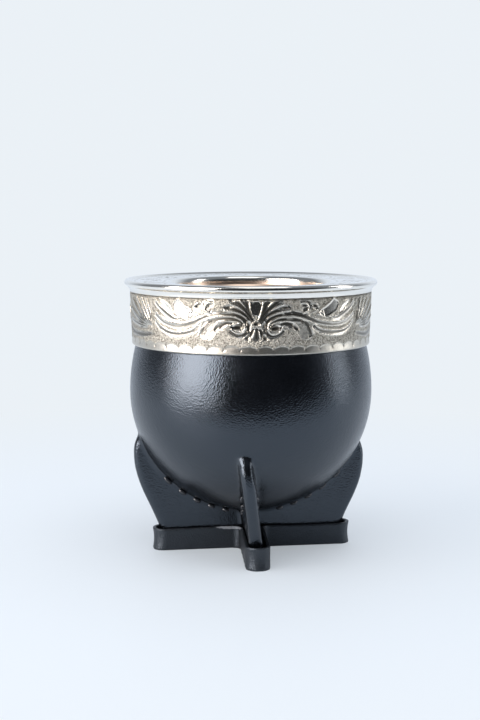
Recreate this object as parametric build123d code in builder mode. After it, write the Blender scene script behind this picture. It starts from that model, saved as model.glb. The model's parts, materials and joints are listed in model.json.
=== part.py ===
from build123d import *
import os
from math import asin, cos, degrees, radians, sin, sqrt

# Traditional mate gourd cup: a hollow calabash in a black leather skin, standing on
# four leather fins tied round the foot by one strap, under a chased metal collar.
# Millimetres. Z is up, the origin is on the cup's axis at the level it stands on,
# and the side fins lie along X with the front fin close to -Y.

# --- Calabash and its leather skin ---
BELLY_RADIUS = 46.3        # outside of the leather at its widest
BELLY_CLEARANCE = 15.1     # lowest point of the round belly above the table
FLANK_RADIUS = 72.4        # flatter curve of the upper flank, outside of the leather
SHOULDER_RADIUS = 12.0     # where the calabash turns in to its mouth
NECK_RISE = 36.6           # from the middle of the belly up to the cut mouth
GOURD_WALL = 6.0
LEATHER = 1.8
LEATHER_TUCK = 12.5        # how far the skin runs up under the collar

# --- Fins, each the skin folded double below the calabash ---
FIN_THICKNESS = 5.0
FIN_EDGE_FLAT = 0.8        # flat left between the two roundings of the folded edge
FIN_EDGE_SLOPE = 0.37      # how fast the outer edge runs outwards above the strap
FIN_EDGE_SWEEP = 0.4       # how softly it then turns upright, as a share of its rise

# --- Foot: a strap tied round the cross and a flat sole inside it ---
STRAP_HEIGHT = 8.6
STRAP_THICKNESS = 1.3
STRAP_SIDE_GAP = 0.8       # room between a fin's face and the strap
STRAP_END_GAP = 0.9        # room between a fin's outer edge and the strap
STRAP_CORNER_RADIUS = 2.6  # inside bends between neighbouring arms
SOLE_THICKNESS = 2.0

# --- Metal collar ---
METAL = 1.0
BAND_HEIGHT = 19.9
BAND_STAND_OFF = 1.3       # lower edge of the band out from the leather
BAND_FLARE = 0.7           # how much wider the band is at its top
HEM_HEIGHT = 0.9           # lower edge of the band, turned in against the leather
BEAD_RADIUS = 1.2
BEAD_OVERHANG = 2.0        # how far the lip stands out past the top of the band
BEAD_INNER_ANGLE = 150.0   # where the bead meets the flat ring, seen from its centre
BEAD_OUTER_ANGLE = -75.0   # where the bead meets the cove below it
COVE_HEIGHT = 3.4          # from the top of the band to the bead's centre
COVE_DEPTH = 0.3
RING_FALL = 0.4            # slope of the flat ring, inwards to the mouth
THROAT_RADIUS = 27.6
THROAT_LENGTH = 12.0       # straight lining below the calabash's cut mouth
FLARE_WIDTH = 3.0          # rounded inner edge of the ring
FLARE_HEIGHT = 5.0

# --- Heights and radii that follow from these ---
BELLY_HEIGHT = BELLY_CLEARANCE + BELLY_RADIUS
GOURD_TOP = BELLY_HEIGHT + NECK_RISE
RING_HEIGHT = GOURD_TOP + FLARE_HEIGHT
BEAD_HEIGHT = RING_HEIGHT + RING_FALL - BEAD_RADIUS * sin(radians(BEAD_INNER_ANGLE))
BAND_TOP = BEAD_HEIGHT - COVE_HEIGHT
BAND_BOTTOM = BAND_TOP - BAND_HEIGHT
LINING_RADIUS = THROAT_RADIUS + METAL
FIN_PIVOT_HEIGHT = STRAP_HEIGHT / 2  # a leaning fin stands on its own line here


def cover_reach(radius, flank, height):
    """Distance from the axis to the belly or the flank at a height."""
    rise = height - BELLY_HEIGHT
    if rise < 0:
        return sqrt(radius ** 2 - rise ** 2)
    return radius - flank + sqrt(flank ** 2 - rise ** 2)


BAND_BOTTOM_RADIUS = cover_reach(BELLY_RADIUS, FLANK_RADIUS, BAND_BOTTOM) + BAND_STAND_OFF
BAND_TOP_RADIUS = BAND_BOTTOM_RADIUS + BAND_FLARE


class Fin:
    """One folded fin: where it points, how it leans and its outer edge."""

    def __init__(self, azimuth, lean, strap_radius, bulge, bulge_drop, join_drop):
        self.azimuth = azimuth            # degrees from +X, seen from above
        self.lean = lean                  # degrees it leans sideways
        self.strap_radius = strap_radius  # reach at the top of the strap
        self.bulge = bulge                # how far its widest point stands out of the belly
        self.bulge_drop = bulge_drop      # that point, below the middle of the belly
        self.join_drop = join_drop        # where its edge runs into the belly, likewise

    def plane(self):
        """The fin's middle plane: local X outwards, local Y up the fin."""
        angle = radians(self.azimuth)
        tilt = radians(self.lean)
        outwards = Vector(cos(angle), sin(angle), 0)
        normal = Vector(sin(angle) * cos(tilt), -cos(angle) * cos(tilt), sin(tilt))
        return Plane(origin=(0, 0, FIN_PIVOT_HEIGHT), x_dir=outwards, z_dir=normal)


RIGHT_FIN = Fin(0.0, -1.5, 36.2, 7.1, 27.4, 18.4)
BACK_FIN = Fin(91.5, 3.0, 35.8, 6.0, 25.0, 17.0)
LEFT_FIN = Fin(180.0, 2.0, 35.6, 5.2, 22.9, 15.4)
FRONT_FIN = Fin(266.0, -8.0, 36.0, 6.4, 26.0, 17.4)
FINS = [RIGHT_FIN, BACK_FIN, LEFT_FIN, FRONT_FIN]


def dome(inset):
    """The closed calabash shape, inset from the outside of the leather."""
    belly = BELLY_RADIUS - inset
    flank = FLANK_RADIUS - inset
    top = GOURD_TOP - (inset - LEATHER)
    shoulder = SHOULDER_RADIUS - (inset - LEATHER)
    flank_turn = degrees(asin((top - BELLY_HEIGHT - shoulder) / (flank - shoulder)))
    with BuildPart() as shape:
        with BuildSketch(Plane.XZ):
            with BuildLine():
                lower = CenterArc((0, BELLY_HEIGHT), belly, -90, 90)
                upper = JernArc(lower @ 1, (0, 1), flank, flank_turn)
                round_over = JernArc(upper @ 1, upper % 1, shoulder, 90 - flank_turn)
                Line(round_over @ 1, (0, top))
                Line((0, top), lower @ 0)
            make_face()
        revolve(axis=Axis.Z)
    return shape.part


def fin_blank(fin):
    """A fin on its own: a plate that reaches into the belly, with a rounded outer edge."""
    bulge_height = BELLY_HEIGHT - fin.bulge_drop
    bulge_reach = cover_reach(BELLY_RADIUS, FLANK_RADIUS, bulge_height) + fin.bulge
    join_height = BELLY_HEIGHT - fin.join_drop
    join_reach = cover_reach(BELLY_RADIUS - LEATHER / 2, FLANK_RADIUS, join_height)
    strap_top = Vector(fin.strap_radius, STRAP_HEIGHT - FIN_PIVOT_HEIGHT)
    ground = (fin.strap_radius - FIN_EDGE_SLOPE * STRAP_HEIGHT, -FIN_PIVOT_HEIGHT)
    bulge = Vector(bulge_reach, bulge_height - FIN_PIVOT_HEIGHT)
    join = (join_reach, join_height - FIN_PIVOT_HEIGHT)
    sweep = FIN_EDGE_SWEEP * (bulge_height - STRAP_HEIGHT)
    with BuildPart() as blank:
        with BuildSketch(fin.plane().offset(-FIN_THICKNESS / 2)):
            with BuildLine():
                Line(ground, strap_top)
                Bezier(
                    strap_top,
                    strap_top + Vector(FIN_EDGE_SLOPE * sweep, sweep),
                    bulge - Vector(0, sweep),
                    bulge,
                )
                TangentArc(bulge, join, tangent=(0, 1))
                Polyline(join, (0, join[1]), (0, -FIN_PIVOT_HEIGHT), ground)
            make_face()
        extrude(amount=FIN_THICKNESS)
        folded_edges = [edge for edge in blank.edges() if edge.geom_type != GeomType.LINE]
        fillet(folded_edges, radius=(FIN_THICKNESS - FIN_EDGE_FLAT) / 2)
        split(bisect_by=Plane.XY.offset(SOLE_THICKNESS), keep=Keep.TOP)
    return blank.part


def foot_cross(inset):
    """Outline of the cross foot, one rounded arm under each fin, inset from the strap's outside."""
    outer_half_width = FIN_THICKNESS / 2 + STRAP_SIDE_GAP + STRAP_THICKNESS
    half_width = outer_half_width - inset
    with BuildSketch() as cross:
        for fin in FINS:
            reach = fin.strap_radius + STRAP_END_GAP + STRAP_THICKNESS - inset
            straight = reach - half_width
            with PolarLocations(0, 1, start_angle=fin.azimuth):
                Rectangle(straight, 2 * half_width, align=(Align.MIN, Align.CENTER))
            with PolarLocations(straight, 1, start_angle=fin.azimuth):
                Circle(half_width)
        crotches = [corner for corner in cross.vertices() if Vector(corner).length < 2 * half_width]
        fillet(crotches, radius=STRAP_CORNER_RADIUS + inset)
    return cross.sketch


# Solids that other pieces are cut to
covered_gourd = dome(0)
bare_gourd = dome(LEATHER)
gourd_hollow = dome(LEATHER + GOURD_WALL)
fin_blanks = [fin_blank(fin) for fin in FINS]

# Calabash: one even wall, open at the mouth, which the throat of the collar fills
with BuildPart() as gourd_shell:
    add(bare_gourd)
    add(gourd_hollow, mode=Mode.SUBTRACT)
    with Locations((0, 0, GOURD_TOP)):
        Cylinder(LINING_RADIUS, 2 * THROAT_LENGTH, mode=Mode.SUBTRACT)
gourd_shell.part.label = "gourd_shell"

# Leather: the skin over the belly and the four fins in one piece
with BuildPart() as leather_cover:
    add(covered_gourd)
    split(bisect_by=Plane.XY.offset(BAND_BOTTOM + LEATHER_TUCK), keep=Keep.BOTTOM)
    for blank in fin_blanks:
        add(blank)
    add(bare_gourd, mode=Mode.SUBTRACT)
leather_cover.part.label = "leather_cover"

# Strap: one strip of leather standing on its edge, tied round the cross
strap_outline = foot_cross(0)
strap_inside = foot_cross(STRAP_THICKNESS)
with BuildPart() as foot_strap:
    with BuildSketch():
        add(strap_outline)
        add(strap_inside, mode=Mode.SUBTRACT)
    extrude(amount=STRAP_HEIGHT)
foot_strap.part.label = "foot_strap"

# Sole: a flat cross of leather that closes the strap underneath
with BuildPart() as sole_cross:
    with BuildSketch():
        add(strap_inside)
    extrude(amount=SOLE_THICKNESS)
sole_cross.part.label = "sole_cross"

# Band: the chased wall of the collar, its lower edge turned in against the leather
with BuildPart() as collar_band:
    with BuildSketch(Plane.XZ):
        with BuildLine():
            Polyline(
                (LINING_RADIUS, BAND_BOTTOM),
                (BAND_BOTTOM_RADIUS, BAND_BOTTOM),
                (BAND_TOP_RADIUS, BAND_TOP),
                (BAND_TOP_RADIUS - METAL, BAND_TOP),
                (BAND_BOTTOM_RADIUS - METAL, BAND_BOTTOM + HEM_HEIGHT),
                (LINING_RADIUS, BAND_BOTTOM + HEM_HEIGHT),
                close=True,
            )
        make_face()
    revolve(axis=Axis.Z)
    add(covered_gourd, mode=Mode.SUBTRACT)
collar_band.part.label = "collar_band"

# Rim: cove, rolled bead, flat ring and the throat that lines the mouth, in one sheet
bead_centre = (BAND_TOP_RADIUS + BEAD_OVERHANG - BEAD_RADIUS, BEAD_HEIGHT)
flare_centre = (THROAT_RADIUS + FLARE_WIDTH, GOURD_TOP)
with BuildPart() as collar_rim:
    with BuildSketch(Plane.XZ):
        with BuildLine():
            bead_turn = BEAD_INNER_ANGLE - BEAD_OUTER_ANGLE
            bead = CenterArc(bead_centre, BEAD_RADIUS, BEAD_OUTER_ANGLE, bead_turn)
            joint = Vector(BAND_TOP_RADIUS, BAND_TOP)
            cove_middle = (joint + bead @ 0) / 2 - Vector(COVE_DEPTH, 0)
            ThreePointArc(joint, cove_middle, bead @ 0)
            flare = EllipticalCenterArc(
                flare_centre, FLARE_WIDTH, FLARE_HEIGHT, start_angle=90, arc_size=90
            )
            Line(bead @ 1, flare @ 0)
            Polyline(
                flare @ 1,
                (THROAT_RADIUS, GOURD_TOP - THROAT_LENGTH),
                (LINING_RADIUS, GOURD_TOP - THROAT_LENGTH),
                (LINING_RADIUS, GOURD_TOP),
            )
            flare_back = EllipticalCenterArc(
                flare_centre, FLARE_WIDTH - METAL, FLARE_HEIGHT - METAL, start_angle=90, arc_size=90
            )
            Polyline(
                flare_back @ 0,
                (BAND_TOP_RADIUS - METAL, RING_HEIGHT + RING_FALL - METAL),
                (BAND_TOP_RADIUS - METAL, BAND_TOP),
                joint,
            )
        make_face()
    revolve(axis=Axis.Z)
collar_rim.part.label = "collar_rim"

os.makedirs("parts", exist_ok=True)
for piece in [gourd_shell, leather_cover, foot_strap, sole_cross, collar_band, collar_rim]:
    export_step(piece.part, f"parts/{piece.part.label}.step")
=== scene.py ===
import json
from math import cos, hypot, pi, radians, sin, sqrt

import bpy
import numpy as np
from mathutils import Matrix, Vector, noise

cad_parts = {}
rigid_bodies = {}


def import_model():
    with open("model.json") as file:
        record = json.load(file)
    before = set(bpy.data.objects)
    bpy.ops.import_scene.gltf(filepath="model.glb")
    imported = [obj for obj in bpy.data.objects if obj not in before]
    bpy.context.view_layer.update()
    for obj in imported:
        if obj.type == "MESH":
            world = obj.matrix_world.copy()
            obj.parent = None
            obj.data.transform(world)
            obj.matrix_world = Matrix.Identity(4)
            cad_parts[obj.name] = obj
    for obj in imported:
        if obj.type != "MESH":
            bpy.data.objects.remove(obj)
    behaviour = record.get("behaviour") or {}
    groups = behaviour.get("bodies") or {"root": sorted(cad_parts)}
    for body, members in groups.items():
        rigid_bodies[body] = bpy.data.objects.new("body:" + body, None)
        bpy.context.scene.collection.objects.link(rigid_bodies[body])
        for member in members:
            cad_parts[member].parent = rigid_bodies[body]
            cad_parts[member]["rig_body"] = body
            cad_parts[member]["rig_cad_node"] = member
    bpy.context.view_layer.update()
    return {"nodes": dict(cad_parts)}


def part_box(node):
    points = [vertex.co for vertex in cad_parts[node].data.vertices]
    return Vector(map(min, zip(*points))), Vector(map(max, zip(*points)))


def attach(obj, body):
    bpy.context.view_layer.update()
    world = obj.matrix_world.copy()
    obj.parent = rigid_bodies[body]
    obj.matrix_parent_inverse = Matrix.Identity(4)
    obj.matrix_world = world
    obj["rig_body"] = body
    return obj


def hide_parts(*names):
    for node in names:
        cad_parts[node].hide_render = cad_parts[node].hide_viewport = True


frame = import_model()
nodes = frame["nodes"]
MM = 0.001

# ------------------------------------------------------------------ sizes from the frame

rim_low, rim_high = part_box("collar_rim")
band_low, band_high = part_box("collar_band")
skin_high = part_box("leather_cover")[1]
strap_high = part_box("foot_strap")[1]
shell_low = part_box("gourd_shell")[0]

LIP_RADIUS = rim_high.x                      # outermost edge of the polished lip
LIP_TOP = rim_high.z
BAND_TOP_RADIUS = band_high.x
BAND_BOTTOM_RADIUS = band_high.x - 0.7 * MM  # the band widens a little towards the lip
BAND_TOP = band_high.z
BAND_BOTTOM = band_low.z
BELLY_RADIUS = skin_high.x                   # outside of the leather
LEATHER_THICKNESS = 1.8 * MM
BELLY_CENTRE = shell_low.z + (BELLY_RADIUS - LEATHER_THICKNESS)
STRAP_TOP = strap_high.z
FIN_THICKNESS = 5.0 * MM
VIEW_AZIMUTH = radians(-8.3)                 # the camera stands a little left of the front


# ------------------------------------------------------------------ shader expressions

class Wire:
    """A socket in a material. Arithmetic on it adds Math nodes."""

    def __init__(self, tree, socket):
        self.tree = tree
        self.socket = socket

    def math(self, operation, *others):
        node = self.tree.nodes.new("ShaderNodeMath")
        node.operation = operation
        for slot, value in zip(node.inputs, (self,) + others):
            feed(self.tree, slot, value)
        return Wire(self.tree, node.outputs[0])

    def __add__(self, other):
        return self.math("ADD", other)

    def __radd__(self, other):
        return self.math("ADD", other)

    def __sub__(self, other):
        return self.math("SUBTRACT", other)

    def __rsub__(self, other):
        return (self * -1).math("ADD", other)

    def __mul__(self, other):
        return self.math("MULTIPLY", other)

    def __rmul__(self, other):
        return self.math("MULTIPLY", other)

    def __truediv__(self, other):
        return self.math("DIVIDE", other)

    def __pow__(self, other):
        return self.math("POWER", other)

    def clamp(self):
        return self.math("MAXIMUM", 0.0).math("MINIMUM", 1.0)

    def step(self, low, high):
        """0 below low, 1 above high, with a soft change between."""
        return ((self - low) / (high - low)).clamp()


def feed(tree, slot, value):
    if isinstance(value, Wire):
        tree.links.new(value.socket, slot)
    else:
        slot.default_value = value


class Finish:
    """One material: a Principled shader with helpers that add its texture nodes."""

    def __init__(self, name, **constants):
        self.material = bpy.data.materials.new(name)
        self.material.use_nodes = True
        self.tree = self.material.node_tree
        self.shader = self.tree.nodes["Principled BSDF"]
        for key, value in constants.items():
            self.shader.inputs[key.replace("_", " ")].default_value = value

    def add(self, kind, settings=None, output=0, **inputs):
        node = self.tree.nodes.new(kind)
        for key, value in (settings or {}).items():
            setattr(node, key, value)
        for key, value in inputs.items():
            feed(self.tree, node.inputs[key.replace("_", " ")], value)
        return Wire(self.tree, node.outputs[output])

    def place(self):
        return self.add("ShaderNodeTexCoord", output="Object")

    def attribute(self, name):
        return self.add("ShaderNodeAttribute", {"attribute_name": name}, output="Fac")

    def noise(self, size, detail=2.0, roughness=0.5):
        """Cloudy variation, 0 to 1, whose blotches are about size metres across."""
        return self.add("ShaderNodeTexNoise", output="Fac", Vector=self.place(), Scale=1 / size,
                        Detail=detail, Roughness=roughness)

    def cells(self, size):
        """Pebbles about size metres across: 0 in the middle of each, rising outwards."""
        return self.add("ShaderNodeTexVoronoi", output="Distance", Vector=self.place(), Scale=1 / size)

    def mix(self, factor, first, second):
        """A colour that goes from first to second as factor goes from 0 to 1."""
        node = self.tree.nodes.new("ShaderNodeMix")
        node.data_type = "RGBA"
        feed(self.tree, node.inputs["Factor"], factor)
        colour_slots = [slot for slot in node.inputs if slot.type == "RGBA"]
        for slot, value in zip(colour_slots, (first, second)):
            feed(self.tree, slot, value if isinstance(value, Wire) else (*value, 1.0))
        colour_out = [slot for slot in node.outputs if slot.type == "RGBA"][0]
        return Wire(self.tree, colour_out)

    def set(self, **values):
        for key, value in values.items():
            feed(self.tree, self.shader.inputs[key.replace("_", " ")], value)

    def bump(self, height, depth, strength=1.0):
        """Relief too fine for the mesh: height runs 0 to 1 over depth metres."""
        normal = self.add("ShaderNodeBump", Height=height, Distance=depth, Strength=strength)
        self.set(Normal=normal)


# ------------------------------------------------------------------ modelling helpers

WELD = 1e-6                      # points closer than this are one
SPIN_WELD = 2e-6
SEED_SIZE = 1 * MM               # the plane that each spun outline is drawn from


def deselect_all():
    if bpy.context.mode != "OBJECT":
        bpy.ops.object.mode_set(mode="OBJECT")
    bpy.ops.object.select_all(action="DESELECT")


def activate(piece):
    deselect_all()
    piece.select_set(True)
    bpy.context.view_layer.objects.active = piece


def apply_modifier(piece, kind, **settings):
    activate(piece)
    modifier = piece.modifiers.new(kind.lower(), kind)
    for key, value in settings.items():
        setattr(modifier, key, value)
    bpy.ops.object.modifier_apply(modifier=modifier.name)


def spun(name, profile, steps):
    """A closed outline of (radius, height) points turned once round the cup's axis."""
    deselect_all()
    bpy.ops.mesh.primitive_plane_add(size=SEED_SIZE, location=(0, 0, 0))
    piece = bpy.context.active_object
    piece.name = name
    bpy.ops.object.mode_set(mode="EDIT")
    bpy.ops.mesh.select_all(action="SELECT")
    bpy.ops.mesh.merge(type="CENTER")
    start = Vector((profile[0][0], 0, profile[0][1]))
    bpy.ops.transform.translate(value=start)
    here = start
    for radius, height in profile[1:]:
        there = Vector((radius, 0, height))
        bpy.ops.mesh.extrude_region_move(TRANSFORM_OT_translate={"value": there - here})
        here = there
    bpy.ops.mesh.extrude_region_move(TRANSFORM_OT_translate={"value": start - here})
    bpy.ops.mesh.select_all(action="SELECT")
    bpy.ops.mesh.remove_doubles(threshold=WELD)
    bpy.ops.mesh.select_all(action="SELECT")
    bpy.ops.mesh.spin(steps=steps, angle=2 * pi, center=(0, 0, 0), axis=(0, 0, 1))
    bpy.ops.mesh.select_all(action="SELECT")
    bpy.ops.mesh.remove_doubles(threshold=SPIN_WELD)
    bpy.ops.mesh.normals_make_consistent(inside=False)
    bpy.ops.object.mode_set(mode="OBJECT")
    piece.data.shade_smooth()
    return piece


def merged_copy(node, name):
    """A welded copy of a solid of the frame, to be reshaped as a piece of its own."""
    piece = nodes[node].copy()
    piece.data = nodes[node].data.copy()
    piece.name = name
    piece.parent = None
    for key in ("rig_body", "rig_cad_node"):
        if key in piece:
            del piece[key]
    bpy.context.scene.collection.objects.link(piece)
    piece.data.materials.clear()
    activate(piece)
    bpy.ops.object.mode_set(mode="EDIT")
    bpy.ops.mesh.select_all(action="SELECT")
    bpy.ops.mesh.remove_doubles(threshold=WELD)
    bpy.ops.object.mode_set(mode="OBJECT")
    return piece


def points_of(piece):
    """The places of a piece's points, one row each."""
    flat = np.zeros(len(piece.data.vertices) * 3)
    piece.data.vertices.foreach_get("co", flat)
    return flat.reshape(-1, 3)


def move_points(piece, points):
    piece.data.vertices.foreach_set("co", points.astype(np.float32).ravel())
    piece.data.update()


def paint(piece, name, values):
    """A value on each point, for the material to read."""
    attribute = piece.data.attributes.new(name, "FLOAT", "POINT")
    attribute.data.foreach_set("value", np.asarray(values, np.float32))


def finish_piece(piece, material, replaces=None):
    piece.data.materials.clear()
    piece.data.materials.append(material)
    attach(piece, "root")
    if replaces:
        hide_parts(replaces)


def smooth_fall(distance, reach):
    """1 on a line, falling softly to 0 at reach from it."""
    share = np.clip(1 - distance / reach, 0, 1)
    return share * share * (3 - 2 * share)


def line_through(points, per_span=8):
    """A smooth line through a few points, as closely spaced points."""
    given = np.array(points, float)
    padded = np.vstack([2 * given[0] - given[1], given, 2 * given[-1] - given[-2]])
    out = []
    for a, b, c, d in zip(padded, padded[1:], padded[2:], padded[3:]):
        for share in np.linspace(0, 1, per_span, endpoint=False):
            out.append(0.5 * (2 * b + (c - a) * share + (2 * a - 5 * b + 4 * c - d) * share ** 2
                              + (3 * b - a - 3 * c + d) * share ** 3))
    out.append(given[-1])
    return np.array(out)


# ------------------------------------------------------------------ chased ornament
# Places on the band are (along, up) in millimetres: along the wall from the middle of a
# motif, and up from the band's lower edge. Both halves of a motif are alike.

FAR_AWAY = 1e9
CUT_TAPER = 0.3                  # share of a stroke's length over which it tapers
BAR_TAPER = 0.35
BEAD_PITCH = 0.62                # from notch to notch along a beaded bar
FACET_WALL = 0.4                 # width of the slope round a facet
FACET_MARGIN = 0.9               # how far the smooth ground reaches beyond a facet


class Relief:
    """Heights of the chased wall in millimetres, gathered over its points."""

    def __init__(self, along, up):
        self.along = along
        self.up = up
        self.height = np.zeros(len(along))
        self.worked = np.zeros(len(along))      # 1 where the ground is left smooth
        # darkening of the cuts: part tarnish, part painted shade for the dark reflections in them
        self.tarnish_and_shade = np.zeros(len(along))     # 1 in the bottom of a cut

    def distance(self, line, reach):
        """The points within reach of a line, their distance and their place along it (0 to 1)."""
        low = line.min(0) - reach
        high = line.max(0) + reach
        near = np.nonzero((self.along > low[0]) & (self.along < high[0])
                          & (self.up > low[1]) & (self.up < high[1]))[0]
        best = np.full(len(near), FAR_AWAY)
        share = np.zeros(len(near))
        x = self.along[near]
        y = self.up[near]
        spans = len(line) - 1
        for index in range(spans):
            a = line[index]
            span = line[index + 1] - a
            t = np.clip(((x - a[0]) * span[0] + (y - a[1]) * span[1]) / (span @ span), 0, 1)
            dx = x - a[0] - t * span[0]
            dy = y - a[1] - t * span[1]
            gap = np.hypot(dx, dy)
            closer = gap < best
            best = np.where(closer, gap, best)
            share = np.where(closer, (index + t) / spans, share)
        return near, best, share

    def taper(self, share, start, end, span):
        """Width along a stroke: start and end at its tips, 1 beyond a span from either."""
        return np.minimum(start + (1 - start) * np.clip(share / span, 0, 1),
                          end + (1 - end) * np.clip((1 - share) / span, 0, 1))

    def cut(self, points, width, depth=0.5, start=0.3, end=0.2):
        """A groove that tapers to both ends, darkened in the bottom with tarnish and painted shade."""
        line = line_through(points)
        near, gap, share = self.distance(line, width + 2.0)
        taper = self.taper(share, start, end, CUT_TAPER)
        half = 0.5 * width * taper + 0.12
        inside = smooth_fall(gap, half * 1.5)
        self.height[near] -= depth * inside * taper ** 0.4
        self.tarnish_and_shade[near] = np.maximum(self.tarnish_and_shade[near], smooth_fall(gap, half * 1.25))
        self.worked[near] = np.maximum(self.worked[near], smooth_fall(gap, half * 1.5 + 0.8))

    def bar(self, points, width, rise, start=0.2, end=0.2, beaded=0.0):
        """A raised, rounded leaf or stem that tapers to both ends."""
        line = line_through(points)
        near, gap, share = self.distance(line, width + 0.6)
        taper = self.taper(share, start, end, BAR_TAPER)
        round_top = np.sqrt(np.clip(1 - (gap / (width * taper + 0.02)) ** 2, 0, 1))
        length = np.hypot(*np.diff(line, axis=0).T).sum()
        notches = 1 - beaded * (0.5 + 0.5 * np.cos(2 * pi * share * length / BEAD_PITCH))
        self.height[near] = np.maximum(self.height[near], rise * round_top * taper ** 0.5 * notches)
        self.worked[near] = np.maximum(self.worked[near], smooth_fall(gap, width * taper + 0.5))

    def oval(self, centre, half_width, half_height, depth):
        """A rounded pit, darkened in the bottom with tarnish and painted shade."""
        u = (self.along - centre[0]) / half_width
        v = (self.up - centre[1]) / half_height
        reach = np.clip(1 - u * u - v * v, 0, 1)
        self.height -= depth * np.sqrt(reach)
        self.worked = np.maximum(self.worked, np.clip(reach * 6, 0, 1))
        self.tarnish_and_shade = np.maximum(self.tarnish_and_shade, np.clip(reach * 2.5, 0, 1))

    def facet(self, outline, depth, deep_towards, least=0.15, lip=0.16, polish=1.0):
        """A facet inside a closed outline, cut deeper towards one direction, with a raised lip."""
        line = line_through(list(outline) + [outline[0]])
        near, gap, _ = self.distance(line, FACET_MARGIN)
        x = self.along[near]
        y = self.up[near]
        inside = np.zeros(len(near), bool)
        for a, b in zip(line, line[1:]):
            crosses = (a[1] > y) != (b[1] > y)
            if crosses.any() and a[1] != b[1]:
                inside ^= crosses & (x < a[0] + (y - a[1]) * (b[0] - a[0]) / (b[1] - a[1]))
        towards = np.array(deep_towards, float)
        towards /= np.hypot(*towards)
        spread = line @ towards
        tilt = (x * towards[0] + y * towards[1] - spread.min()) / (spread.max() - spread.min())
        wall = np.clip(gap / FACET_WALL, 0, 1)
        level = -depth * (least + (1 - least) * np.clip(tilt, 0, 1)) * wall
        self.height[near] = np.where(inside, level, self.height[near])
        edge = smooth_fall(gap, 0.7) * ~inside
        self.height[near] += lip * edge
        around = np.maximum(self.worked[near], smooth_fall(gap, FACET_MARGIN))
        self.worked[near] = np.where(inside, polish, around)

    def punches(self, points, spacing, size, depth):
        """A row of small punched marks."""
        line = line_through(points, per_span=16)
        steps = np.hypot(*np.diff(line, axis=0).T)
        travelled = np.concatenate([[0], np.cumsum(steps)])
        for place in np.arange(spacing / 2, travelled[-1], spacing):
            x = np.interp(place, travelled, line[:, 0])
            y = np.interp(place, travelled, line[:, 1])
            fall = smooth_fall(np.hypot(self.along - x, self.up - y), size)
            self.height -= depth * fall
            # the punched marks are darkened with tarnish and painted shade
            self.tarnish_and_shade = np.maximum(self.tarnish_and_shade, 0.7 * fall)


def palmette(r):
    """The fan above and below the lozenge in the middle of a main motif."""
    r.facet([(-1.5, 11.3), (0.0, 12.0), (1.5, 11.3), (0.0, 10.5)], 0.45, (0, 1))
    r.oval((0.0, 11.4), 1.1, 0.45, 0.2)
    r.facet([(0.25, 14.3), (1.25, 16.4), (1.35, 18.6), (0.2, 19.4), (-0.3, 17.0)], 0.5, (0, -1))
    r.cut([(1.1, 12.9), (2.1, 14.7), (2.9, 16.8), (3.9, 19.5)], 1.0, 0.5, 0.1, 0.9)
    r.bar([(0.6, 12.8), (1.5, 14.6), (2.0, 16.8), (2.2, 19.4)], 0.42, 0.30, 0.4, 0.9, beaded=0.25)
    r.bar([(1.5, 12.8), (2.7, 14.6), (4.2, 17.2), (5.6, 19.3)], 0.50, 0.32, 0.3, 1.0, beaded=0.25)
    r.cut([(1.5, 12.5), (2.4, 14.2), (4.0, 16.2), (5.2, 17.5), (6.7, 18.5), (8.9, 19.2)],
          1.15, 0.5, 0.15, 0.45)
    r.bar([(1.7, 12.1), (2.8, 13.5), (4.6, 15.4), (6.6, 17.0), (9.3, 18.2)],
          0.50, 0.34, 0.3, 0.6, beaded=0.3)
    r.cut([(1.9, 11.6), (2.7, 12.9), (4.4, 14.6), (6.0, 15.6), (8.0, 16.3), (9.9, 16.9), (11.5, 16.6)],
          1.2, 0.5, 0.15, 0.5)
    r.bar([(3.0, 12.2), (4.6, 13.9), (6.6, 14.9), (9.2, 15.6), (11.9, 15.8)],
          0.48, 0.34, 0.4, 0.5, beaded=0.2)
    r.cut([(0.0, 9.4), (0.0, 7.8), (0.0, 6.3)], 1.35, 0.45, 0.15, 1.0)
    r.cut([(1.2, 9.2), (1.9, 7.6), (3.1, 6.3)], 1.2, 0.45, 0.15, 0.8)
    r.bar([(0.7, 9.2), (1.1, 7.6), (1.7, 6.1)], 0.35, 0.26, 0.4, 0.8)


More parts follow.
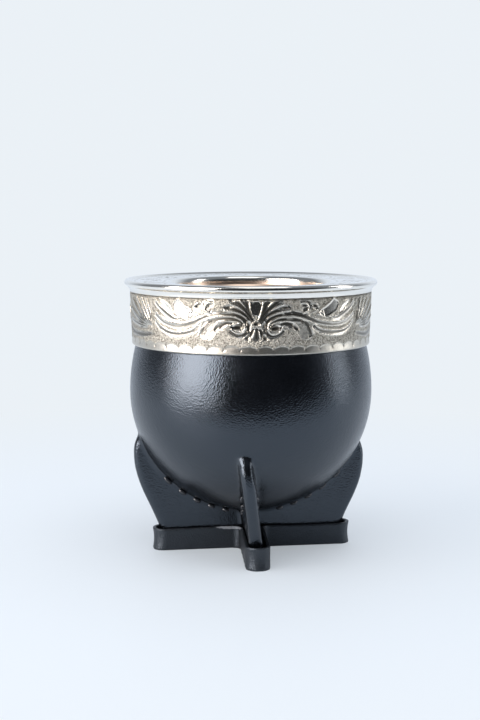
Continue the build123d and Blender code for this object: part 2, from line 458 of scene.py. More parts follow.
def volute(r):
    """The scroll beside the palmette, its eye and the leaf that droops from it."""
    r.cut([(9.6, 8.5), (8.3, 7.6), (6.7, 7.05), (5.2, 7.0), (3.8, 7.8), (3.1, 9.2), (3.1, 10.9), (3.9, 12.3),
           (5.2, 13.3), (6.7, 14.0), (8.3, 14.4), (9.9, 14.6), (12.6, 14.6), (15.8, 14.1), (17.8, 13.5),
           (19.7, 12.75), (22.8, 11.2), (27.5, 10.1), (30.6, 9.9), (33.5, 10.2), (36.9, 11.2), (40.4, 13.3)],
          1.05, 0.55, 0.4, 0.3)
    r.bar([(9.0, 9.1), (7.4, 8.1), (5.6, 7.9), (4.3, 9.0), (4.2, 10.8), (5.2, 12.2), (7.0, 13.3),
           (9.6, 13.8), (12.6, 13.8), (15.6, 13.2), (18.4, 12.2), (21.4, 10.8)],
          0.55, 0.36, 0.4, 0.5, beaded=0.3)
    r.cut([(5.0, 11.2), (6.0, 12.0), (7.5, 12.6), (9.1, 12.9), (11.4, 12.9), (13.8, 12.6), (15.8, 12.0),
           (17.4, 11.3), (18.5, 10.3), (19.3, 9.0), (20.2, 7.2)], 1.0, 0.5, 0.2, 1.0)
    r.bar([(4.9, 10.4), (5.9, 11.5), (7.8, 12.1), (10.0, 12.2), (12.2, 12.0), (14.1, 11.4), (15.5, 10.0)],
          0.45, 0.30, 0.3, 0.4, beaded=0.2)
    r.facet([(5.0, 9.9), (6.4, 10.9), (8.4, 10.7), (9.3, 10.0), (8.0, 9.2), (5.9, 9.0)], 0.6, (-1, 0.3))
    r.oval((6.6, 9.9), 1.5, 0.7, 0.25)
    r.cut([(9.2, 11.4), (10.6, 11.4), (12.2, 10.8), (13.8, 9.9), (14.8, 9.1)], 1.15, 0.5, 0.3, 0.7)
    r.bar([(9.4, 10.8), (10.8, 10.2), (12.5, 9.0)], 0.42, 0.28, 0.4, 0.4)
    r.facet([(13.6, 11.7), (16.3, 11.2), (17.8, 10.0), (18.8, 8.2), (19.4, 6.4), (18.3, 5.7), (16.6, 6.2),
             (15.6, 7.6), (15.3, 9.2), (14.8, 10.4)], 0.06, (1, 0.2), 1.0, 0.0, 0.3)
    r.bar([(19.3, 10.0), (20.6, 8.6), (21.4, 7.2)], 0.5, 0.3, 0.3, 0.6)
    r.bar([(17.6, 5.4), (19.2, 5.7), (20.7, 6.3)], 0.4, 0.26, 0.5, 0.5)


def wing(r):
    """Long leaves that sweep out and up, with a broad pointed leaf standing on them."""
    r.bar([(18.0, 14.0), (21.0, 12.9), (24.0, 11.8), (28.0, 11.1), (32.0, 11.1), (35.5, 11.9), (38.4, 13.3),
           (40.8, 15.2)], 0.62, 0.42, 0.3, 0.25)
    r.cut([(29.6, 12.3), (31.4, 12.4), (33.0, 13.1), (34.5, 13.8), (36.1, 14.8), (37.7, 15.7), (40.4, 17.6)],
          0.95, 0.5, 0.2, 0.4)
    r.bar([(28.6, 12.7), (30.8, 13.1), (33.2, 14.1), (36.0, 15.7), (38.2, 17.1), (40.2, 19.0)],
          0.55, 0.42, 0.3, 0.3)
    r.facet([(32.2, 14.7), (34.2, 15.6), (35.8, 17.0), (37.6, 18.5), (35.6, 18.0), (33.9, 17.3),
             (33.0, 16.0)], 0.5, (-1, 0.6), 0.25, 0.2)
    r.bar([(33.6, 17.3), (35.6, 18.4), (38.2, 19.4)], 0.40, 0.30, 0.4, 0.3)
    r.bar([(32.6, 13.9), (35.0, 14.9), (37.6, 16.9)], 0.30, 0.24, 0.4, 0.3)
    r.cut([(21.2, 9.9), (22.5, 8.8), (23.9, 8.1), (25.5, 7.6), (27.5, 7.2), (29.9, 7.0),
           (33.0, 7.2), (35.3, 7.7), (36.9, 8.3), (38.5, 9.1), (40.4, 10.8)], 0.95, 0.5, 0.4, 0.35)
    r.bar([(21.8, 10.3), (24.0, 8.9), (27.0, 8.2), (30.0, 7.95), (34.0, 8.2), (37.2, 9.5), (40.0, 11.6)],
          0.55, 0.42, 0.3, 0.25)
    r.bar([(23.6, 7.2), (27.0, 6.3), (31.0, 6.05), (34.5, 6.4), (38.0, 7.9)], 0.40, 0.30, 0.3, 0.3)
    r.punches([(22.6, 10.4), (24.6, 9.55), (26.7, 9.15), (29.1, 8.9), (31.4, 8.8), (33.8, 9.0), (36.0, 9.7)],
              0.85, 0.34, 0.22)
    r.facet([(29.3, 19.6), (28.2, 18.3), (26.6, 17.0), (24.6, 15.9), (23.2, 15.1), (23.9, 13.7),
             (25.8, 13.0), (27.4, 13.1), (29.2, 14.0), (30.7, 15.0), (31.4, 16.8), (30.9, 18.4)],
            0.72, (-1, 0.1), 0.0, 0.2)
    r.bar([(20.8, 13.5), (22.6, 14.1), (24.4, 13.3)], 0.42, 0.32, 0.3, 0.3)


def scrolls(r):
    """Small scroll and sprigs between the palmette and the wing."""
    r.cut([(16.0, 19.1), (18.0, 19.1), (19.2, 18.2), (19.9, 16.9)], 0.7, 0.4, 0.4, 0.3)
    r.bar([(15.7, 18.3), (17.4, 18.4), (18.5, 17.5), (18.7, 16.2)], 0.42, 0.3, 0.3, 0.4)
    r.cut([(16.4, 17.6), (17.5, 17.4), (17.8, 16.5), (17.0, 15.8)], 0.6, 0.34, 0.4, 0.3)
    r.bar([(20.9, 18.4), (22.2, 17.6), (23.1, 16.7)], 0.42, 0.32, 0.4, 0.3)
    r.cut([(20.9, 17.6), (21.8, 17.0), (22.6, 16.3)], 0.7, 0.4, 0.5, 0.4)
    r.bar([(16.5, 14.8), (18.2, 15.4), (19.7, 16.3)], 0.42, 0.34, 0.4, 0.4)
    r.bar([(18.7, 14.3), (20.8, 15.1), (22.8, 15.9)], 0.48, 0.36, 0.4, 0.4)


def main_motif(r):
    """Palmette, volutes and wings, as they face the front and the back."""
    palmette(r)
    volute(r)
    wing(r)
    scrolls(r)


SPRAY_ROOT = (28.2, 8.2)
SHELL_UP = 13.2                  # height of the shell's hinge


def side_motif(r):
    """Sprays rising from low roots at both ends to meet beside a small shell."""
    root = SPRAY_ROOT
    for turn, reach in ((6, 21.0), (17, 20.5), (29, 19.0), (43, 14.6), (58, 12.0), (75, 10.6), (95, 9.6),
                        (118, 8.0)):
        tip = (root[0] - reach * cos(radians(turn)), root[1] + min(reach * sin(radians(turn)), 10.6))
        bend = ((root[0] + tip[0]) / 2 + 0.10 * (tip[1] - root[1]), (root[1] + tip[1]) / 2 - 0.5)
        start = (root[0] + 0.16 * (tip[0] - root[0]), root[1] + 0.16 * (tip[1] - root[1]))
        r.cut([start, bend, tip], 1.0, 0.45, 0.3, 0.4)
        lifted = [(x + 0.25, y + 0.8) for x, y in (start, bend, tip)]
        r.bar(lifted, 0.42, 0.34, 0.4, 0.3, beaded=0.2)
    r.cut([(27.6, 6.2), (20.0, 5.2), (12.0, 5.4), (5.0, 7.2)], 0.9, 0.45, 0.3, 0.3)
    r.facet([(-2.2, 12.0), (0.0, 14.6), (2.2, 12.0), (0.0, 9.6)], 0.5, (0, 1))
    for turn in (0.0, 0.45, 0.9, 1.35):
        tip = (7.0 * sin(turn), SHELL_UP + 6.0 * cos(turn))
        near = (2.6 * sin(turn), SHELL_UP + 2.0 * cos(turn))
        r.cut([near, tip], 1.1, 0.45, 0.2, 0.7)
    r.cut([(0.0, 8.8), (0.0, 5.6)], 1.1, 0.4, 0.2, 0.8)
    r.cut([(1.4, 8.8), (3.4, 6.0)], 1.1, 0.4, 0.2, 0.8)


MAIN_HALF = 43.0                 # half the length of a main motif along the wall
MOTIF_SHIFT = 2.2 * MM           # the front motif sits a little to the right
SCALLOPS = 48
CUSP_UP = 1.8                    # height of the points between scallops
SCALLOP_RISE = 1.6
SCALLOP_FOOT = 0.35              # height of the plain edge below them
SCALLOP_DEPTH = 0.24
GROUND_DEPTH = 0.10
STIPPLE_DEPTH = 0.05
STIPPLE_SEED = 11
TOP_LINE_UP = 19.75              # the groove under the lip


def scallops(along, up, whole):
    """The punched border: thumbnail cuts, deep under their arched top edge."""
    pitch = 2 * whole / SCALLOPS
    within = (along % pitch) / pitch * 2 - 1
    arch = CUSP_UP + SCALLOP_RISE * np.sqrt(np.clip(1 - within ** 2, 0, 1))
    share = np.clip((up - SCALLOP_FOOT) / (arch - SCALLOP_FOOT + 1e-6), 0, 1)
    wall = np.clip((arch - up) / 0.3, 0, 1)
    height = -SCALLOP_DEPTH * share ** 1.5 * wall * (up > SCALLOP_FOOT)
    worked = np.clip((arch + 0.25 - up) / 0.25, 0, 1)
    dot = smooth_fall(np.hypot((1 - np.abs(within)) * pitch / 2, up - CUSP_UP - 0.1), 0.45)
    # dots at the cusps and a line under each arch are darkened: tarnish and painted shade
    tarnish_and_shade = 0.7 * dot + 0.35 * smooth_fall(np.abs(up - arch + 0.1), 0.3)
    return height - 0.25 * dot, worked, tarnish_and_shade


def chased_heights(points, radius):
    """Height of the ornament, smooth-worked share, and the darkening of tarnish and painted shade at points
    of the wall.
    """
    motif_turn = VIEW_AZIMUTH - pi / 2 + MOTIF_SHIFT / radius
    turn = np.arctan2(points[:, 1], points[:, 0]) - motif_turn
    turn = (turn + pi) % (2 * pi) - pi
    along = turn * radius / MM
    up = (points[:, 2] - BAND_BOTTOM) / MM
    whole = pi * radius / MM
    # the hand that chased it wandered a little
    drawn_up = up + 0.16 * np.sin(turn * 7 + 0.6) + 0.10 * np.sin(turn * 17)
    drawn_along = along + 0.28 * np.sin(turn * 5 + 1.0) + 0.15 * np.sin(up * 0.5 + turn * 11)
    folded = np.abs(drawn_along)
    folded = np.where(folded > whole / 2, whole - folded, folded)
    height = np.zeros(len(points))
    worked = np.zeros(len(points))
    tarnish_and_shade = np.zeros(len(points))
    for chosen, place, motif in ((folded <= MAIN_HALF, folded, main_motif),
                                 (folded > MAIN_HALF, whole / 2 - folded, side_motif)):
        relief = Relief(place[chosen], drawn_up[chosen])
        motif(relief)
        height[chosen] = relief.height
        worked[chosen] = relief.worked
        tarnish_and_shade[chosen] = relief.tarnish_and_shade
    draw = np.random.default_rng(STIPPLE_SEED)
    stipple = draw.uniform(-1, 1, len(points)) * STIPPLE_DEPTH
    height += (1 - worked) * (stipple - GROUND_DEPTH)
    border, smooth_edge, dark = scallops(along, up, whole)
    in_border = up < CUSP_UP + SCALLOP_RISE + 0.3
    blend = smooth_edge * in_border
    height = height * (1 - blend) + border
    worked = np.maximum(worked, blend)
    tarnish_and_shade = np.maximum(tarnish_and_shade * (1 - blend), dark * in_border)
    # the groove under the lip is sunk and darkened with tarnish and painted shade
    top_line = smooth_fall(np.abs(up - TOP_LINE_UP), 0.35)
    return height - 0.2 * top_line, np.clip(worked, 0, 1), np.clip(tarnish_and_shade + 0.5 * top_line, 0, 1)


BAND_ROWS = 80
BAND_STEPS = 1150
BAND_CHAMFER = 0.35 * MM
DEEPEST = -0.72                  # millimetres, like every height of the relief
HIGHEST = 0.5
RELIEF_BASE = 0.75               # how far below the wall the relief is measured from
RELIEF_SPAN = 1.3
RELIEF_LEVELS = 500
PLAIN_EDGE_GROUND = 0.6          # how much of the ground's look the plain edge has


def chased_band():
    """The wide band: a fine spun wall, raised and sunk by the ornament's heights."""
    rows = []
    for row in range(BAND_ROWS + 1):
        share = row / BAND_ROWS
        rows.append((BAND_BOTTOM_RADIUS + share * (BAND_TOP_RADIUS - BAND_BOTTOM_RADIUS),
                     BAND_BOTTOM + BAND_CHAMFER + share * (BAND_TOP - BAND_BOTTOM - BAND_CHAMFER)))
    inner = [(BAND_TOP_RADIUS - 1.2 * MM, BAND_TOP), (BAND_BOTTOM_RADIUS - 1.2 * MM, BAND_BOTTOM + 0.9 * MM),
             (BAND_BOTTOM_RADIUS - 1.0 * MM, BAND_BOTTOM), (BAND_BOTTOM_RADIUS - BAND_CHAMFER, BAND_BOTTOM)]
    piece = spun("chased_band", rows + inner, BAND_STEPS)
    points = points_of(piece)
    reach = np.hypot(points[:, 0], points[:, 1])
    share = (points[:, 2] - BAND_BOTTOM) / (BAND_TOP - BAND_BOTTOM)
    wall = BAND_BOTTOM_RADIUS + share * (BAND_TOP_RADIUS - BAND_BOTTOM_RADIUS)
    outside = reach > wall - 0.3 * MM
    height, worked, tarnish_and_shade = chased_heights(points, (BAND_TOP_RADIUS + BAND_BOTTOM_RADIUS) / 2)
    height = np.clip(height, DEEPEST, HIGHEST) * outside
    group = piece.vertex_groups.new(name="relief")
    levels = np.round((height + RELIEF_BASE) / RELIEF_SPAN * RELIEF_LEVELS).astype(int)
    for level in np.unique(levels):
        group.add(np.nonzero(levels == level)[0].tolist(), level / RELIEF_LEVELS, "REPLACE")
    apply_modifier(piece, "DISPLACE", vertex_group="relief", strength=RELIEF_SPAN * MM,
                   mid_level=0.0, direction="NORMAL")
    apply_modifier(piece, "DISPLACE", strength=-RELIEF_BASE * MM, mid_level=0.0, direction="NORMAL")
    piece.vertex_groups.clear()
    plain_edge = PLAIN_EDGE_GROUND * (points[:, 2] < BAND_BOTTOM + (CUSP_UP + SCALLOP_RISE) * MM)
    paint(piece, "ground", np.maximum(1 - worked, plain_edge) * outside)
    # the cut attribute carries the tarnish and painted shade of the cuts
    paint(piece, "cut", tarnish_and_shade * outside)
    return piece


# ------------------------------------------------------------------ polished rim

LIP_BEAD = 1.2 * MM
RING_DROP = 1.0 * MM             # how far the flat ring's inner edge lies below the lip
RING_STEPS = 44
MOUTH_RADIUS = 31.5 * MM
THROAT_RADIUS = 27.6 * MM
FLARE_WIDTH = 1.4 * MM
FLARE_DROP = 2.2 * MM            # how soon the flare turns down into the throat
SHOULDER_DROP = 4.4 * MM
RIM_STEPS = 480


def round_corner(centre, width, height, degrees_from, degrees_to, step):
    """Points of an ellipse about centre, from one angle to another."""
    angles = [radians(degree) for degree in range(degrees_from, degrees_to + 1, step)]
    return [(centre[0] + width * cos(angle), centre[1] + height * sin(angle)) for angle in angles]


def rim_profile():
    """The rim cut through: cove, lip bead, flat ring, flare, shoulder and throat."""
    outline = [(BAND_TOP_RADIUS - 0.6 * MM, BAND_TOP), (BAND_TOP_RADIUS - 0.1 * MM, BAND_TOP + 0.05 * MM)]
    bead_centre = (LIP_RADIUS - LIP_BEAD, LIP_TOP - LIP_BEAD)
    bead = round_corner(bead_centre, LIP_BEAD, LIP_BEAD, -75, 150, 15)
    cove_start = Vector((BAND_TOP_RADIUS, BAND_TOP + 0.1 * MM))
    for share in (0.2, 0.4, 0.6, 0.8):
        place = cove_start.lerp(Vector(bead[0]), share)
        outline.append((place.x - 0.35 * MM * sin(pi * share), place.y))
    outline += bead
    ring_height = LIP_TOP - RING_DROP
    ring_end = Vector((MOUTH_RADIUS, ring_height))
    for index in range(1, RING_STEPS + 1):
        outline.append(tuple(Vector(bead[-1]).lerp(ring_end, index / RING_STEPS)))
    outline += round_corner((MOUTH_RADIUS, ring_height - FLARE_DROP), FLARE_WIDTH, FLARE_DROP, 100, 180, 10)
    shoulder = ring_height - SHOULDER_DROP
    bottom = rim_low.z
    throat = THROAT_RADIUS
    outline += [(MOUTH_RADIUS - FLARE_WIDTH - 0.2 * MM, shoulder + 0.6 * MM),
                (MOUTH_RADIUS - FLARE_WIDTH - 0.7 * MM, shoulder),
                (throat + 0.3 * MM, shoulder - 0.5 * MM), (throat, shoulder - 1.0 * MM),
                (throat, bottom + 6 * MM), (throat, bottom + 0.4 * MM), (throat + 0.4 * MM, bottom),
                (throat + 0.9 * MM, bottom + 0.4 * MM), (throat + 0.95 * MM, shoulder - 1.0 * MM),
                (MOUTH_RADIUS, ring_height - 1.0 * MM), (BAND_TOP_RADIUS - 1.2 * MM, ring_height - 0.7 * MM),
                (BAND_TOP_RADIUS - 1.2 * MM, BAND_TOP)]
    return outline


GARLAND_LEAVES = 14
GARLAND_REACH = 38.4             # millimetres from the axis, like the lines beside it
GARLAND_SWAY = 2.6
EDGE_LINES = (33.0, 44.0)
RING_REACH = (31.5, 45.4)
STEM_DEPTH = 0.16
LEAF_DEPTH = 0.14
LINE_DEPTH = 0.12


def polished_rim():
    """The bright rim, with a light garland of leaves engraved round its flat ring."""
    piece = spun("polished_rim", rim_profile(), RIM_STEPS)
    points = points_of(piece)
    reach = np.hypot(points[:, 0], points[:, 1]) / MM
    turn = np.arctan2(points[:, 1], points[:, 0])
    on_ring = (points[:, 2] > LIP_TOP - 1.3 * MM) & (reach > RING_REACH[0]) & (reach < RING_REACH[1])
    phase = (turn * GARLAND_LEAVES / (2 * pi)) % 1.0 - 0.5
    middle = GARLAND_REACH + GARLAND_SWAY * np.sin(turn * GARLAND_LEAVES)
    stem = smooth_fall(np.abs(reach - middle), 0.75)
    leaf_gap = np.hypot((phase + 0.02) * 17.0, (reach - GARLAND_REACH) * 0.9) - 3.2
    leaf = smooth_fall(np.abs(leaf_gap), 0.7)
    lines = sum(smooth_fall(np.abs(reach - line), 0.5) for line in EDGE_LINES)
    height = -(STEM_DEPTH * stem + LEAF_DEPTH * leaf + LINE_DEPTH * lines) * on_ring
    points[:, 2] += height * MM
    move_points(piece, points)
    paint(piece, "cut", np.clip(-height / STEM_DEPTH, 0, 1))
    return piece


# ------------------------------------------------------------------ leather

class Fin:
    """One of the four fins: which way it points, and where its seam's stitches begin."""

    def __init__(self, azimuth, first_stitch):
        self.azimuth = radians(azimuth)
        self.first_stitch = first_stitch         # in stitch pitches from the outer end

    def outwards(self):
        return Vector((cos(self.azimuth), sin(self.azimuth), 0))

    def across(self):
        return Vector((-sin(self.azimuth), cos(self.azimuth), 0))


RIGHT_FIN = Fin(0.0, 0.0)
BACK_FIN = Fin(91.5, 0.6)
LEFT_FIN = Fin(180.0, 0.1)
FRONT_FIN = Fin(266.0, 0.5)
FINS = [RIGHT_FIN, BACK_FIN, LEFT_FIN, FRONT_FIN]

SKIN_VOXEL = 0.8 * MM
SKIN_SMOOTHING = 7
SWAY_BROAD = 45.0                # waves in each metre
SWAY_FINE = 130.0
SWAY_TOP = 0.05                  # height where the leather begins to wander more
SWAY_FADE = 0.02
NUB_REACH = 43.6
NUB_HEIGHT = 38.2
NUB_SHIFT = 0.6 * MM
NUB_SIZE = 5.2 * MM


def leather_skin():
    """The moulded skin with its four fins, softened where the leather bends."""
    piece = merged_copy("leather_cover", "leather_skin")
    apply_modifier(piece, "REMESH", mode="VOXEL", voxel_size=SKIN_VOXEL)
    apply_modifier(piece, "SMOOTH", factor=0.5, iterations=SKIN_SMOOTHING)
    points = points_of(piece)
    for index, (x, y, z) in enumerate(points):
        where = Vector((x, y, z))
        low = max(0.0, min(1.0, (SWAY_TOP - z) / SWAY_FADE))
        sway = noise.noise(where * SWAY_BROAD) * 0.25 + noise.noise(where * SWAY_FINE) * 0.10
        level = np.array((x, y, 0.0)) / max(hypot(x, y), 1e-6)
        points[index] += level * sway * MM * (0.3 + 0.7 * low)
    # the knotted end of the seam makes a nub at the head of the front fin
    out = np.array(FRONT_FIN.outwards())
    across = np.array(FRONT_FIN.across())
    nub = out * NUB_REACH * MM + np.array((0, 0, NUB_HEIGHT * MM)) + across * NUB_SHIFT
    gap = np.linalg.norm((points - nub) / (1.0, 1.0, 1.5), axis=1)
    swell = smooth_fall(gap, NUB_SIZE)[:, None]
    sideways = np.sign((points - nub) @ across)[:, None] * across
    points += swell * (sideways * 0.9 * MM + out * 0.5 * MM)
    move_points(piece, points)
    piece.data.shade_smooth()
    return piece


STRAP_VOXEL = 0.42 * MM
STRAP_SMOOTHING = 3
STRAP_CURL = 0.55 * MM           # how far the ends lean out at their edges
CURL_FROM = 32.0                 # millimetres from the axis
EDGE_WANDER = 0.6 * MM
FRAYED_UP = 7.2                  # millimetres from the floor
FRAYED_AT = 8.5                  # millimetres from the axis, along the left arm
FRAYED_HALF = 7.0


def foot_strap():
    """The strap round the cross: rounded edges, ends that curl out, an uneven top."""
    piece = merged_copy("foot_strap", "strap")
    apply_modifier(piece, "REMESH", mode="VOXEL", voxel_size=STRAP_VOXEL)
    apply_modifier(piece, "SMOOTH", factor=0.5, iterations=STRAP_SMOOTHING)
    points = points_of(piece)
    reach = np.hypot(points[:, 0], points[:, 1])
    middle = STRAP_TOP / 2
    at_end = np.clip((reach / MM - CURL_FROM) / 4.0, 0, 1)
    curl = STRAP_CURL * at_end * ((points[:, 2] - middle) / middle) ** 2
    points[:, 0] *= 1 + curl / reach
    points[:, 1] *= 1 + curl / reach
    turn = np.arctan2(points[:, 1], points[:, 0])
    rise = np.clip((points[:, 2] - middle) / middle, 0, 1)
    points[:, 2] += rise * (-0.30 - 0.30 * np.sin(3 * turn + reach * 90)) * EDGE_WANDER
    points[:, 2] = np.clip(points[:, 2], 0, None)
    move_points(piece, points)
    top_edge = np.clip((points[:, 2] / MM - FRAYED_UP) / 0.8, 0, 1)
    left = LEFT_FIN.outwards()
    along = points[:, 0] * left.x + points[:, 1] * left.y
    in_front = (points[:, 1] < 0) & (points[:, 1] > -7 * MM)
    torn = np.clip(1 - np.abs(along / MM - FRAYED_AT) / FRAYED_HALF, 0, 1) * in_front
    paint(piece, "worn", top_edge * (0.25 + 0.75 * torn))
    piece.data.shade_smooth()
    return piece


# ------------------------------------------------------------------ finishes

GRAIN = 0.00062                  # size of a pebble of the leather's grain


def leather_finish(name, colour, roughness):
    """Dressed leather: fine pebbled grain, small creases and cloudy shine."""
    f = Finish(name, Specular_IOR_Level=0.95, Specular_Tint=(0.73, 0.85, 1.0, 1.0))
    grain = f.cells(GRAIN)
    fine = f.noise(0.0004, 3.0)
    cloud = f.noise(0.012, 3.0)
    creases = f.noise(0.0022, 4.0, 0.7)
    f.set(Base_Color=f.mix(cloud.step(0.35, 0.75), colour, tuple(c * 1.6 + 0.001 for c in colour)))
    f.set(Roughness=roughness + 0.12 * (cloud - 0.5) + 0.08 * (fine - 0.5))
    f.bump(grain * 0.6 + fine * 0.3 + creases * 0.5, 0.00013, 0.8)
    return f.material


def strap_finish(name):
    """Satin black leather whose cut upper edge is frayed to its pale fibres."""
    f = Finish(name, Specular_IOR_Level=0.8, Specular_Tint=(0.76, 0.87, 1.0, 1.0))
    worn = f.attribute("worn")
    fray = f.noise(0.0009, 5.0, 0.75)
    grain = f.cells(GRAIN)
    cloud = f.noise(0.006, 3.0)
    showing = (worn * 1.5 + fray - 1.12).step(0.0, 0.25)
    black = f.mix(cloud, (0.003, 0.003, 0.0035), (0.010, 0.010, 0.011))
    f.set(Base_Color=f.mix(showing, black, (0.34, 0.33, 0.33)))
    f.set(Roughness=(0.34 + 0.14 * cloud + 0.4 * showing).clamp())
    f.bump(grain * 0.5 + fray * (0.3 + worn) + cloud * 0.5, 0.00022, 0.8)
    return f.material


def silver_finish(name):
    """Polished nickel silver: stippled ground, darkened in the cuts and pits by tarnish and painted shade.
    """
    f = Finish(name, Metallic=1.0)
    ground = f.attribute("ground")
    cut = f.attribute("cut")
    speck = f.cells(0.00042)
    hatch = f.noise(0.00055, 3.0, 0.75)
    cloud = f.noise(0.009, 3.0)
    pitted = ground.step(0.5, 1.0)
    # cuts and pits of the ground darken the colour: part tarnish, part painted shade
    tarnish_and_shade = (cut * 0.9 + pitted * 0.85 * hatch.step(0.44, 0.60) * (1 - cut)).clamp()
    bright = f.mix(cloud.step(0.3, 0.7), (0.76, 0.71, 0.62), (0.83, 0.79, 0.72))
    clean = f.mix(ground * 0.7, bright, (0.50, 0.465, 0.395))
    f.set(Base_Color=f.mix(tarnish_and_shade, clean, (0.10, 0.088, 0.068)))
    f.set(Roughness=(0.13 + 0.07 * cloud + ground * 0.24 + cut * 0.16).clamp())
    f.bump(pitted * (speck * 0.8 + hatch) + cloud * 0.05, 0.00030, 0.9)
    return f.material


PAINTED_TAN_TOP = 0.1018               # the painted tan reflection starts below this height
PAINTED_TAN_FULL_BELOW = 0.1006
PAINTED_TAN_EDGE = 0.0316              # and inside this distance from the axis
PAINTED_TAN_FULL_INSIDE = 0.0304


def polished_finish(name):
    """Mirror-bright lip and ring, with a painted reflection of the gourd's tan inside coloured down the
    throat.
    """
    f = Finish(name, Metallic=1.0)
    cut = f.attribute("cut")
    cloud = f.noise(0.010, 3.0)
    scuff = f.noise(0.0008, 4.0, 0.7)
    place = f.place()
    sideways, forward, height = [f.add("ShaderNodeSeparateXYZ", output=axis, Vector=place)
                                 for axis in "XYZ"]
    across = (sideways * sideways + forward * forward) ** 0.5
    deep = (height * -1).step(-PAINTED_TAN_TOP, -PAINTED_TAN_FULL_BELOW)
    inward = (across * -1).step(-PAINTED_TAN_EDGE, -PAINTED_TAN_FULL_INSIDE)
    throat = (deep * inward).clamp()
    bright = f.mix(cut * 0.5, (0.89, 0.86, 0.80), (0.35, 0.33, 0.30))
    # painted reflection: the metal down the throat is coloured tan where it would mirror the gourd's tan
    # inside
    f.set(Base_Color=f.mix(throat, bright, (0.74, 0.57, 0.45)))
    f.set(Roughness=(0.07 + 0.07 * cloud + 0.05 * scuff + cut * 0.1 + throat * 0.18).clamp())
    f.bump(scuff, 0.00003, 0.3)
    return f.material


def calabash_finish(name):
    """The bare inside of the dried gourd, mottled and slightly rough."""
    f = Finish(name, Roughness=0.7)
    cloud = f.noise(0.012, 4.0)
    fleck = f.noise(0.0015, 4.0, 0.7)
    mottle = (cloud * 0.7 + fleck * 0.3).step(0.35, 0.7)
    f.set(Base_Color=f.mix(mottle, (0.50, 0.33, 0.19), (0.62, 0.44, 0.27)))
    f.bump(fleck, 0.0004, 0.6)
    return f.material


def thread_finish(name):
    """Waxed black thread with a fine twist."""
    f = Finish(name, Roughness=0.25, Specular_IOR_Level=0.8)
    twist = f.noise(0.0005, 2.0)
    f.set(Base_Color=f.mix(twist, (0.012, 0.012, 0.014), (0.05, 0.05, 0.055)))
    f.bump(twist, 0.0001, 0.6)
    return f.material


# ------------------------------------------------------------------ stitches

STITCH_PITCH = 6.4 * MM
STITCH_LENGTH = 3.4 * MM
STITCH_DROP = 1.5 * MM
STITCH_RADIUS = 0.72 * MM
STITCH_BOW = 0.30 * MM           # how far its middle stands out
STITCH_SINK = 0.05 * MM
SEAM_OUTER = 34.6 * MM           # the seam runs between these distances from the axis
SEAM_INNER = 7.5 * MM
STITCH_SHARE = 0.86              # the fold slopes, so less of each length is level
PITCH_SHARE = 0.87


def crease_height(reach, off):
    """Height of the fold between belly and fin."""
    return BELLY_CENTRE - sqrt(BELLY_RADIUS ** 2 - reach ** 2 - off ** 2)


def seam_point(skin, fin, reach, side, drop):
    """Where the leather lies in the fold beside a fin, and which way it faces there."""
    height = crease_height(reach, FIN_THICKNESS / 2) - drop
    start = fin.outwards() * reach + fin.across() * side * 24 * MM + Vector((0, 0, height))
    hit, place, normal, _ = skin.ray_cast(start, fin.across() * -side)
    return (place, normal) if hit else None


def stitch(name, start, end, outwards):
    """One stitch: a short waxed thread that bows out and dives in at both ends."""
    deselect_all()
    length = (end - start).length
    bpy.ops.mesh.primitive_uv_sphere_add(segments=12, ring_count=10, radius=1)
    piece = bpy.context.active_object
    piece.name = name
    points = points_of(piece)
    share = points[:, 2].copy()
    points[:, :2] *= STITCH_RADIUS
    points[:, 2] = share * length / 2
    points[:, 0] += STITCH_BOW * (1 - share ** 2) - STITCH_SINK
    along = (end - start).normalized()
    out = (outwards - along * outwards.dot(along)).normalized()
    side = along.cross(out)
    turn = np.array([list(out), list(side), list(along)])
    move_points(piece, points @ turn + np.array((start + end) / 2))
    piece.data.shade_smooth()
    return piece


def stitches(skin):
    """A seam of stitches along each side of each fin, in the fold under the belly."""
    made = []
    for fin in FINS:
        for side in (-1, 1):
            reach = SEAM_OUTER - fin.first_stitch * STITCH_PITCH
            while reach > SEAM_INNER:
                outer = seam_point(skin, fin, reach, side, STITCH_DROP)
                inner = seam_point(skin, fin, reach - STITCH_LENGTH * STITCH_SHARE, side, STITCH_DROP)
                if outer and inner:
                    made.append(stitch("stitch", outer[0], inner[0], outer[1]))
                reach -= STITCH_PITCH * PITCH_SHARE
    activate(made[0])
    for piece in made:
        piece.select_set(True)
    bpy.ops.object.join()
    seam = bpy.context.active_object
    seam.name = "fin_stitches"
    return seam


# ------------------------------------------------------------------ build the cup

black_leather = leather_finish("black leather", (0.0012, 0.0012, 0.0016), 0.225)
strap_leather = strap_finish("strap leather")
sole_leather = leather_finish("sole leather", (0.020, 0.018, 0.017), 0.6)
chased_silver = silver_finish("chased nickel silver")
polished_silver = polished_finish("polished nickel silver")
calabash = calabash_finish("dried calabash")
waxed_thread = thread_finish("waxed thread")

skin = leather_skin()
finish_piece(skin, black_leather, "leather_cover")
finish_piece(foot_strap(), strap_leather, "foot_strap")
finish_piece(stitches(skin), waxed_thread)
finish_piece(chased_band(), chased_silver, "collar_band")
finish_piece(polished_rim(), polished_silver, "collar_rim")
for node, material, slot in (("gourd_shell", calabash, "calabash"),
                             ("sole_cross", sole_leather, "sole_leather")):
    nodes[node].data.materials.clear()
    nodes[node].data.materials.append(material)


# ------------------------------------------------------------------ floor, light and camera

